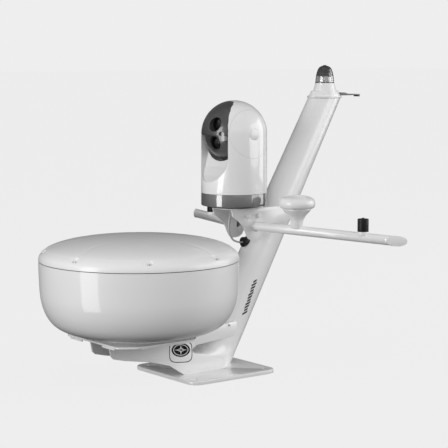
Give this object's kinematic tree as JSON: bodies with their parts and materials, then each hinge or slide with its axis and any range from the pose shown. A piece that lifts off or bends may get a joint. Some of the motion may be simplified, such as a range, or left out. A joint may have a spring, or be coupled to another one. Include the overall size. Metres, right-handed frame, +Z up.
{
  "type": "radar dome antenna",
  "caption": "Enclosed radar scanner on a raked oval mast with a foot plate, pan-and-tilt camera, swept antenna arms, mushroom antenna and masthead light.",
  "frame": {"origin": "centre of the foot plate's underside, on the cable hole's axis", "axes": "+X starboard, +Y aft, +Z up; the radar scanner is forward, at -Y"},
  "size_m": [0.9038, 1.0229, 0.821],
  "materials": {
    "mast_paint": "satin white powder coat",
    "stainless": "brushed stainless",
    "radome_white": "gloss white moulding",
    "black_rubber": "matt black rubber",
    "cast_alloy": "as cast",
    "bearing_steel": "machined",
    "panel_plastic": "matt",
    "white_plastic": "gloss white moulding",
    "camera_white": "gloss white moulding",
    "camera_grey": "satin dark grey",
    "visor_black": "satin near-black",
    "lens_glass": "coated germanium lens",
    "window_clear": "clear",
    "cable_grey": "light grey jacket",
    "light_smoke": "clear lens, smoked by its louvres",
    "lamp_white": "translucent white"
  },
  "bodies": {
    "mast": {"base_plate": "mast_paint", "arm_side_starboard": "mast_paint", "arm_side_port": "mast_paint", "arm_web": "mast_paint", "tower_foot": "mast_paint", "mast_tube": "mast_paint", "mast_cap": "mast_paint", "side_screws": "stainless", "cable_gland": "black_rubber", "radar_platform": "mast_paint", "platform_lips": "mast_paint", "cable_shroud": "mast_paint", "radar_lower_shell": "radome_white", "radar_cover": "radome_white", "cover_screws": "stainless", "radar_gasket": "black_rubber", "radar_screw_posts": "radome_white", "radar_bolts": "stainless", "radar_washers": "stainless", "radar_chassis": "cast_alloy", "radar_transceiver": "cast_alloy", "radar_bearing": "bearing_steel", "drive_motor": "bearing_steel", "drive_belt": "black_rubber", "bracket_side_starboard": "mast_paint", "bracket_side_port": "mast_paint", "bracket_top": "mast_paint", "bracket_bolts": "stainless", "camera_pad": "black_rubber", "arm_tube_starboard": "mast_paint", "arm_tube_port": "mast_paint", "arm_end_caps": "mast_paint", "antenna_stubs": "white_plastic", "gps_neck": "white_plastic", "gps_dome": "white_plastic", "camera_base": "camera_grey", "camera_cable": "cable_grey", "light_base": "white_plastic", "light_gasket": "black_rubber", "light_lens": "light_smoke", "light_lamp": "lamp_white", "masthead_fin": "mast_paint"},
    "camera_pan": {"camera_pan_body": "camera_white", "camera_side_caps": "camera_white"},
    "camera_tilt": {"camera_head": "camera_white", "camera_visor": "visor_black", "lens_bezels": "visor_black", "camera_lenses": "lens_glass", "camera_window": "window_clear"},
    "scanner": {"rotor_shaft": "cast_alloy", "antenna_carrier": "cast_alloy", "antenna_panel": "panel_plastic"},
    "scanner_drive": {"motor_pulley": "bearing_steel"},
    "cap_starboard": {"dust_cap_starboard": "black_rubber"},
    "cap_port": {"dust_cap_port": "black_rubber"}
  },
  "joints": [
    {"name": "camera_pan_turn", "type": "hinge", "parent": "mast", "child": "camera_pan", "pos_m": [0, 0.099, 0.48], "axis": [0, 0, 1], "continuous": true},
    {"name": "camera_tilt_turn", "type": "hinge", "parent": "camera_pan", "child": "camera_tilt", "pos_m": [0, 0.099, 0.64], "axis": [1, 0, 0], "range_deg": [-90, 90]},
    {"name": "scanner_turn", "type": "hinge", "parent": "mast", "child": "scanner", "pos_m": [0, -0.2136, 0.2], "axis": [0, 0, 1], "continuous": true},
    {"name": "drive_turn", "type": "hinge", "parent": "mast", "child": "scanner_drive", "pos_m": [0.092, -0.1516, 0.2], "axis": [0, 0, 1], "continuous": true},
    {"name": "cap_starboard_lift", "type": "slide", "parent": "mast", "child": "cap_starboard", "axis": [0, 0, 1], "range_m": [0, 0.04]},
    {"name": "cap_port_lift", "type": "slide", "parent": "mast", "child": "cap_port", "axis": [0, 0, 1], "range_m": [0, 0.04]}
  ],
  "couplings": [
    {"joint": "drive_turn", "follows": "scanner_turn", "ratio": 4}
  ]
}
